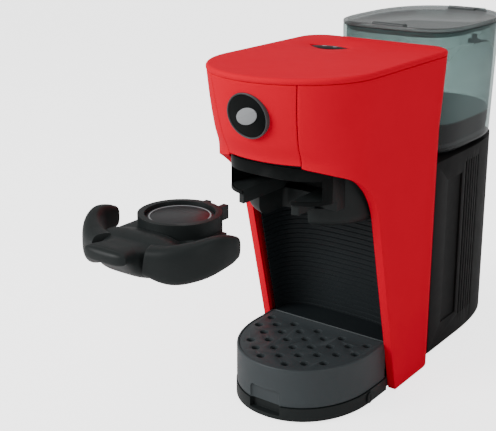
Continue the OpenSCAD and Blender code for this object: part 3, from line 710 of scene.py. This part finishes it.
def power_button():
    around = superellipse(1, 1, 2, 0, 360, 121)[:-1]
    edge = lens_outline(around) - np.array(BUTTON)
    profile = [(1.0, CAP_FOOT), (1.0, CAP_EDGE), (0.985, CAP_SHOULDER)]
    rings = [at_height(edge * s + np.array(BUTTON), z) for s, z in profile]
    for s in np.linspace(0.95, 0.03, 14):
        z = CAP_SHOULDER + (button_high.z - CAP_SHOULDER) * (1 - s**2)
        rings.append(at_height(edge * s + np.array(BUTTON), z))
    cap = loft("button_cap", rings)
    stem = loft("stem", [at_height(superellipse(3 * MM, 3 * MM, 2, 0, 360, 33)[:-1] + np.array(BUTTON), z)
                         for z in (button_low.z, STEM_TOP)])
    return joined("power_button_cap", [cap, stem])


finish_piece(power_button(), "button", "gloss_black", "power_button")


def button_glyph():
    """Two small cup signs on the button: a plain bowl each."""
    parts = []
    z = button_high.z - 0.02 * MM
    for side in (-1, 1):
        centre = np.array(BUTTON) + [side * 4.6 * MM, 0]
        bowl = arc(0, 0, 1.9 * MM, 180, 360, 13)
        bowl = np.vstack([bowl, [[1.9 * MM, 0.9 * MM], [-1.9 * MM, 0.9 * MM]]])
        parts.append(loft("bowl", [at_height(bowl + centre, z - 0.5 * MM), at_height(bowl + centre, z)]))
    return joined("button_cup_signs", parts)


finish_piece(button_glyph(), "button", "grey_trim")

# ---------- cup bay ----------


def bay_curve(z, count=61):
    """U-shaped plan of the cup bay's inner wall."""
    y0 = front_edge(z) + LEG_EDGE
    back = wall_low.y + BAY_DEEP
    curve = superellipse(BAY_HALF, back - y0, 3.2, 0, 180, count)
    return curve + [0, y0]


def bay_liner():
    rows = []
    top, low = BAY_TOP, tray_high.z - 1.2 * MM
    pitch, width, depth = 4.0 * MM, 1.1 * MM, 0.7 * MM
    count = int((top - low) / pitch)
    for i in range(count):
        z = low + i * pitch
        for dz, groove in ((0, 0), (pitch - width - 0.4 * MM, 0), (pitch - width, 1), (pitch - 0.3 * MM, 1)):
            curve = bay_curve(z + dz)
            normal = np.stack([curve[:, 0], curve[:, 1] - curve[:, 1].min() + 0.01], 1)
            normal /= np.linalg.norm(normal, axis=1)[:, None]
            rows.append(at_height(curve + normal * depth * groove * 0.8 - normal * 0.3 * MM, z + dz))
    rows.append(at_height(bay_curve(top), top))
    return thick_grid("bay_wall_ribbed", np.array(rows)[:, ::-1], 1.0 * MM, smooth=30)


def bay_shelf():
    """Step behind the tray that closes the bay's floor."""
    top, low, y0 = tray_high.z - 0.9 * MM, wall_low.z, wall_low.y + 0.1 * MM
    curve = bay_curve(top, 41)
    curve[:, 1] = np.maximum(curve[:, 1], y0)
    rows = [at_height(np.stack([curve[:, 0], np.full(len(curve), y0)], 1), low)]
    for s in (0.0, 0.5, 1.0):
        plan = np.stack([curve[:, 0], y0 + (curve[:, 1] - y0) * s], 1)
        rows.append(at_height(plan, top))
    return thick_grid("bay_step", rows, 1.2 * MM)


finish_piece(bay_liner(), "root", "black_plastic", "bay_wall", material=bay_black)
finish_piece(bay_shelf(), "root", "black_plastic", material=bay_black)

# ---------- drip tray ----------

NOTCH = 13 * MM


def drip_tray():
    z0, z1 = tray_low.z, tray_high.z
    floor = z0 + 2.4 * MM
    outer = [(2.2 * MM, z0), (0.9 * MM, z0 + 0.3 * MM), (0.4 * MM, z0 + 1.3 * MM)]
    outer += [(0.4 * MM, z) for z in np.linspace(z0 + 4 * MM, z1 - 4 * MM, 8)]
    outer += fillet(0.4 * MM, z1 - 1.1 * MM, 1.3 * MM, z1, 5)
    inner = [(1.9 * MM, z1), (2.1 * MM, z1 - 0.3 * MM), (2.1 * MM, z1 - 4.2 * MM), (3.2 * MM, z1 - 4.5 * MM),
             (3.4 * MM, z1 - 5 * MM), (4.2 * MM, floor + 4 * MM), (6 * MM, floor + 1 * MM), (9 * MM, floor)]
    ob = plan_loft("drip_tray_body", foot_plan, outer + inner, smooth=35)
    front = tray_low.y
    cutter = block("notch", (-NOTCH, front - 6 * MM, z0 - 6 * MM),
                   (NOTCH, front + 3.4 * MM, z0 + 11.7 * MM), 2.6 * MM)
    return cut(ob, cutter, 35)


finish_piece(drip_tray(), "tray", "black_plastic", "drip_tray", material=materials["grid_plastic"])
refined("drip_grid", 0.45 * MM, 3)
refined("base_frame", 0.6 * MM)

# ---------- brew head and rear ----------

refined("brew_housing", 1.0 * MM)
refined("slot_frame", 0.5 * MM)
refined("head_floor", 0.4 * MM)


def prism(name, plan, low, high):
    return loft(name, [at_height(plan, low), at_height(plan, high)])


def rear_closed(half, deep, power, centre, rear):
    """Rounded front about (0, centre), straight sides to the rear line."""
    front = superellipse(half, deep, power, 0, -180, 121) + [0, centre]
    return np.vstack([front, [[-half, rear], [half, rear]]])


def brew_casing():
    """Wide casing with a softly rounded lower edge, cut out for the housing and the holder."""
    low, high, r = casing_low.z, casing_high.z, CASING_ROUND
    edge = [(i, low + r - (z - low)) for i, z in fillet(0, low, r, low + r, 9)]
    profile = [(r, low)] + edge[::-1][1:]
    profile += [(0, z) for z in np.linspace(low + 14 * MM, high, 6)]
    rings = []
    for inset, z in profile:
        plan = rear_closed(CASING_HALF - inset, CASING_DEEP - inset, 2.3, CASING_MID, CASING_REAR)
        rings.append(at_height(plan, z))
    ob = loft("brew_casing_body", rings)
    housing = rear_closed(HOUSING_HALF, HOUSING_DEEP, 3, MID, HOUSING_REAR)
    cut(ob, prism("housing", housing, HOUSING_Z, 260 * MM))
    cut(ob, block("channel", (-20.5 * MM, -0.12, 0.13), (20.5 * MM, -34 * MM, 0.26), 4 * MM))
    cut(ob, block("way_in", (-38 * MM, -0.12, 0.168), (38 * MM, -15 * MM, 0.26), 1 * MM))
    return bevel(ob, 0.7 * MM, 3, 50)


finish_piece(brew_casing(), "root", "black_plastic", "brew_casing")
rear_black = moulded("rear_black", (0.0065, 0.006, 0.0062), rough=0.5, specular=0.12, grain=1500,
                     depth=0.00008, strength=0.5, spread=0.15, edge_lightening=0.3, bevel_r=0.0003)
refined("rear_housing", 0.8 * MM, material=rear_black)
refined("badge_ring", 0.5 * MM, 2, material=moulded("badge_rim", (0.06, 0.062, 0.064), rough=0.35, grain=900,
                                                    strength=0.2, specular=0.3))
for small, width in (("side_lugs", 0.3), ("badge_disc", 0.4), ("badge_bean", 0.12),
                     ("cord_gland", 0.4), ("rear_vent", 0.2), ("feet", 0.5), ("tank_seat", 0.4),
                     ("tank_float", 0.3), ("bulkhead", 0.3)):
    refined(small, width * MM, 2)

# ---------- tank ----------

TANK_MID = 140 * MM
TANK_Z = 166 * MM
TANK_TOP = 262 * MM
TANK_LOW = np.array([50, 67, 70]) * MM
TANK_HIGH = np.array([53, 68, 74]) * MM
WALL = 2.4 * MM


def tank_ring(inset, z):
    k = (z - TANK_Z) / (TANK_TOP - TANK_Z)
    half, front, rear = TANK_LOW * (1 - k) + TANK_HIGH * k
    return at_height(tank_plan(half, front, rear, inset), z)


def water_tank():
    foot = fillet(0, TANK_Z, 4 * MM, TANK_Z + 4 * MM, 6)
    outer = [(i, TANK_Z + 4 * MM - (z - TANK_Z)) for i, z in foot][::-1]
    outer += [(0, z) for z in np.linspace(TANK_Z + 10 * MM, TANK_TOP - 4 * MM, 12)]
    outer += [(0, TANK_TOP - 0.6 * MM), (0.5 * MM, TANK_TOP), (WALL - 0.5 * MM, TANK_TOP)]
    inner = [(WALL, TANK_TOP - 0.6 * MM)]
    inner += [(WALL, z) for z in np.linspace(TANK_TOP - 4 * MM, TANK_Z + 12 * MM, 10)]
    inner += [(WALL + 0.6 * MM, TANK_Z + 6 * MM), (WALL + 3 * MM, TANK_Z + 3 * MM)]
    return loft("water_tank_body", [tank_ring(i, z) for i, z in outer + inner])


finish_piece(water_tank(), "tank", "smoked_clear", "water_tank")

SEAT_Y = 100 * MM
PIN_Y, PIN_Z = 217.5 * MM, 262.4 * MM


def round_ring(cx, cy, r, z, count=48):
    return at_height(arc(cx, cy, r, 0, 360, count + 1)[:-1], z)


def tank_foot():
    """Grey strainer tray moulded to the floor of the tank, with a well round the valve."""
    step = TANK_Z + 23 * MM
    outer = [tank_ring(WALL + 0.5 * MM, z) for z in np.linspace(TANK_Z + 4 * MM, step - 1.2 * MM, 4)]
    outer.append(tank_ring(WALL + 1.2 * MM, step))
    rim = outer[-1][:, :2]
    away = rim - [0, SEAT_Y]
    well = away / np.linalg.norm(away, axis=1)[:, None] * 13 * MM + [0, SEAT_Y]
    rings = list(outer)
    for s in (0.1, 0.3, 0.5, 0.7, 0.9, 1.0):
        rings.append(at_height(rim + (well - rim) * s, step + 0.2 * MM * math.sin(math.pi * s)))
    rings.append(at_height(well, TANK_Z + 4 * MM))
    return loft("tank_strainer", rings, loop=True)


strainer_grey = moulded("strainer_grey", (0.035, 0.034, 0.037), rough=0.45, grain=900, strength=0.3,
                        spread=0.2)
finish_piece(tank_foot(), "tank", "black_plastic", material=strainer_grey)


def tank_outlet():
    profile = [(8, -9), (8, 0.2), (6, 0.2), (6, -6), (1.7, -6), (1.7, -8), (6, -8), (6, -9)]
    rings = [round_ring(0, SEAT_Y, r * MM, TANK_Z + z * MM) for r, z in profile]
    return loft("tank_outlet", rings, loop=True)


finish_piece(tank_outlet(), "tank", "smoked_clear")


def hinge_lug(x, thickness, r, drop):
    """A round lug on the hinge's axis with a web that reaches forward and down."""
    round_part = arc(0, 0, r, -90, 120, 22)
    web = np.array([[-r * 0.9, -0.4 * MM], [-7 * MM, -0.7 * MM], [-7 * MM, -drop], [0.0, -drop]])
    plan = np.vstack([round_part, web])
    rings = [np.stack([np.full(len(plan), x + s), PIN_Y + plan[:, 0], PIN_Z + plan[:, 1]], 1)
             for s in (0, thickness)]
    return loft("lug", rings)


ears = joined("tank_hinge_ears", [hinge_lug(s * 15 * MM - 2 * MM, 4 * MM, 3 * MM, 9 * MM) for s in (-1, 1)])
finish_piece(ears, "tank", "smoked_clear")

LID_Z = TANK_TOP + 0.4 * MM


def lid_ring(inset, z):
    return at_height(tank_plan(*TANK_HIGH, inset), z)


def tank_lid():
    top = LID_Z + 3.4 * MM
    skirt = TANK_TOP - 4 * MM
    inside = WALL + 1.4 * MM
    profile = [(inside + 1.8 * MM, LID_Z), (inside + 1.8 * MM, skirt), (inside + 0.4 * MM, skirt),
               (inside, skirt + 0.4 * MM), (inside, LID_Z), (0.6 * MM, LID_Z), (0, LID_Z + 0.6 * MM)]
    profile += [(0, top - 1.0 * MM), (0.3 * MM, top - 0.3 * MM), (1.0 * MM, top), (2.6 * MM, top),
                (3.2 * MM, top - 0.4 * MM), (3.4 * MM, top - 1.2 * MM), (4.2 * MM, top - 1.6 * MM)]
    return loft("tank_lid_panel", [lid_ring(i, z) for i, z in profile])


lid_panel = tank_lid()
back_cut = block("back", (-70 * MM, 190 * MM, TANK_TOP - 8 * MM), (70 * MM, 240 * MM, LID_Z - 0.01 * MM))
finish_piece(cut(lid_panel, back_cut), "lid", "smoked_lid", "tank_lid")


def lid_knuckle():
    barrel = arc(0, 0, 2.98 * MM, 0, 360, 33)[:-1]
    rings = [np.stack([np.full(32, x), PIN_Y + barrel[:, 0] * s, PIN_Z + barrel[:, 1] * s], 1)
             for x, s in ((-12.4 * MM, 0.9), (-12.1 * MM, 1), (12.1 * MM, 1), (12.4 * MM, 0.9))]
    web = block("web", (-12 * MM, PIN_Y - 12 * MM, LID_Z + 0.2 * MM),
                (12 * MM, PIN_Y - 0.5 * MM, LID_Z + 3.2 * MM), 0.4 * MM)
    tab = sweep("tab", [(x * MM, 78 * MM, LID_Z + 3.3 * MM, 7 * MM, 3.4 * MM) for x in (-13, -5, 5, 13)], 2.6)
    return joined("tank_lid_knuckle", [loft("barrel", rings), web, tab])


finish_piece(lid_knuckle(), "lid", "smoked_lid")

# ---------- capsule holder ----------

LOAD_Y = (foil_low.y + foil_high.y) / 2
refined("holder_body", 0.9 * MM, 4)
refined("holder_spout", 0.6 * MM)
refined("coffee_pod", 0.3 * MM, 2)
refined("pod_foil", 0.12 * MM, 2)


# Stations of the holder's grip in millimetres: x, y behind the pod's centre, z, width, height
WING = ((17, -49, 168.4, 15, 17), (30, -43.5, 166.6, 14, 22.4), (40.5, -34.5, 168.4, 11.5, 22.8),
        (46.4, -23.5, 170.8, 9.4, 21.6), (47.9, -13, 170.8, 8.4, 17.6), (47.9, -8.4, 170.6, 7.6, 14))
HANDLE = ((0, -26.5, 166, 50, 20), (0, -36, 165.8, 60, 24), (0, -46, 166, 46, 21), (0, -55, 169.3, 32, 15),
          (0, -62, 171.9, 31, 10.2), (0, -65.6, 172.4, 32, 8.8))


def grip_bar(name, table, side, power):
    stations = [(side * x * MM, LOAD_Y + y * MM, z * MM, w * MM, h * MM) for x, y, z, w, h in table]
    return sweep(name, stations, power, round_start=False)


def holder_grip():
    """Grip with a pair of broad ears that sweep back beside the slot, and a handle."""
    parts = [grip_bar("wing", WING, side, 3.0) for side in (-1, 1)]
    parts.append(grip_bar("handle", HANDLE, 1, 3.4))
    return joined("holder_grip_body", parts)


finish_piece(holder_grip(), "holder", "black_plastic", "holder_grip")


def pod_ring():
    """Thin bead near the edge of the pod's lid."""
    top = foil_high.z
    profile = [(19.3, 0.0), (19.0, 0.12), (18.7, 0.12), (18.4, 0.0), (18.4, -0.2), (19.3, -0.2)]
    rings = [round_ring(0, LOAD_Y, r * MM, top + z * MM, 96) for r, z in profile]
    return loft("pod_lid_bead", rings, loop=True)


finish_piece(pod_ring(), "holder", "grey_trim")

# ---------- stage, light, camera ----------


def glow_for_camera(material, strength):
    """Lifts the backdrop towards white in the picture without lighting the machine."""
    tree, links, add = node_tools(material)
    path = add("ShaderNodeLightPath")
    lift = add("ShaderNodeMath", operation="MULTIPLY")
    lift.inputs[1].default_value = strength
    links.new(path.outputs["Is Camera Ray"], lift.inputs[0])
    links.new(lift.outputs["Value"], tree.nodes["Principled BSDF"].inputs["Emission Strength"])


def studio():
    pale = moulded("pale_floor", (0.86, 0.86, 0.86), rough=0.6, grain=60, depth=0.0002, strength=0.1,
                   spread=0.01, specular=0.1)
    pale.node_tree.nodes["Principled BSDF"].inputs["Emission Color"].default_value = (1, 1, 1, 1)
    glow_for_camera(pale, FLOOR_SEEN)
    rows = []
    for x in np.linspace(-4, 4, 9):
        back = [(x, -4.0, 0), (x, 1.2, 0)]
        back += [(x, 1.2 + 1.2 * math.sin(u), 1.2 - 1.2 * math.cos(u))
                 for u in np.linspace(0.1, math.pi / 2, 12)]
        back += [(x, 2.4, 4.0)]
        rows.append(back)
    verts, faces = grid(rows)
    floor = dress(add_object("studio_floor", verts, faces), pale)
    world = bpy.data.worlds.new("studio")
    bpy.context.scene.world = world
    world.use_nodes = True
    tree = world.node_tree
    background = tree.nodes["Background"]
    background.inputs["Color"].default_value = (1, 1, 1, 1)
    # Soft daylight that the camera sees as bright as the floor
    path = tree.nodes.new("ShaderNodeLightPath")
    sky = tree.nodes.new("ShaderNodeMapRange")
    sky.inputs["To Min"].default_value = SKY_LIGHT
    sky.inputs["To Max"].default_value = SKY_SEEN
    tree.links.new(path.outputs["Is Camera Ray"], sky.inputs["Value"])
    tree.links.new(sky.outputs["Result"], background.inputs["Strength"])


def lamp(name, place, target, size, power):
    data = bpy.data.lights.new(name, "AREA")
    data.shape = "RECTANGLE"
    data.size, data.size_y = size
    data.energy = power
    ob = bpy.data.objects.new(name, data)
    bpy.context.scene.collection.objects.link(ob)
    ob.location = place
    ob.rotation_euler = (Vector(target) - Vector(place)).to_track_quat("-Z", "Y").to_euler()


def camera():
    azimuth, pitch = math.radians(36.56), math.radians(16.0)
    distance, lens, shift = 0.8196, 75.19, -0.0983
    target = Vector((-0.0788, 0, 0.1553))
    back = Vector((math.sin(azimuth) * math.cos(pitch), -math.cos(azimuth) * math.cos(pitch),
                   math.sin(pitch)))
    data = bpy.data.cameras.new("camera")
    data.lens = lens
    data.sensor_width = 36
    data.shift_y = shift
    data.clip_start = 0.01
    ob = bpy.data.objects.new("camera", data)
    bpy.context.scene.collection.objects.link(ob)
    ob.location = target + back * distance
    ob.rotation_euler = (-back).to_track_quat("-Z", "Y").to_euler()
    bpy.context.scene.camera = ob


studio()
lamp("key", (-0.7, -1.3, 1.0), (0, -0.05, 0.15), (0.9, 0.9), 25.5)
lamp("top", (0.1, 0.3, 1.6), (0, 0, 0.2), (1.2, 1.2), 4.5)
lamp("side", (1.6, -0.5, 0.7), (0, 0, 0.12), (0.6, 1.2), 4.5)
camera()
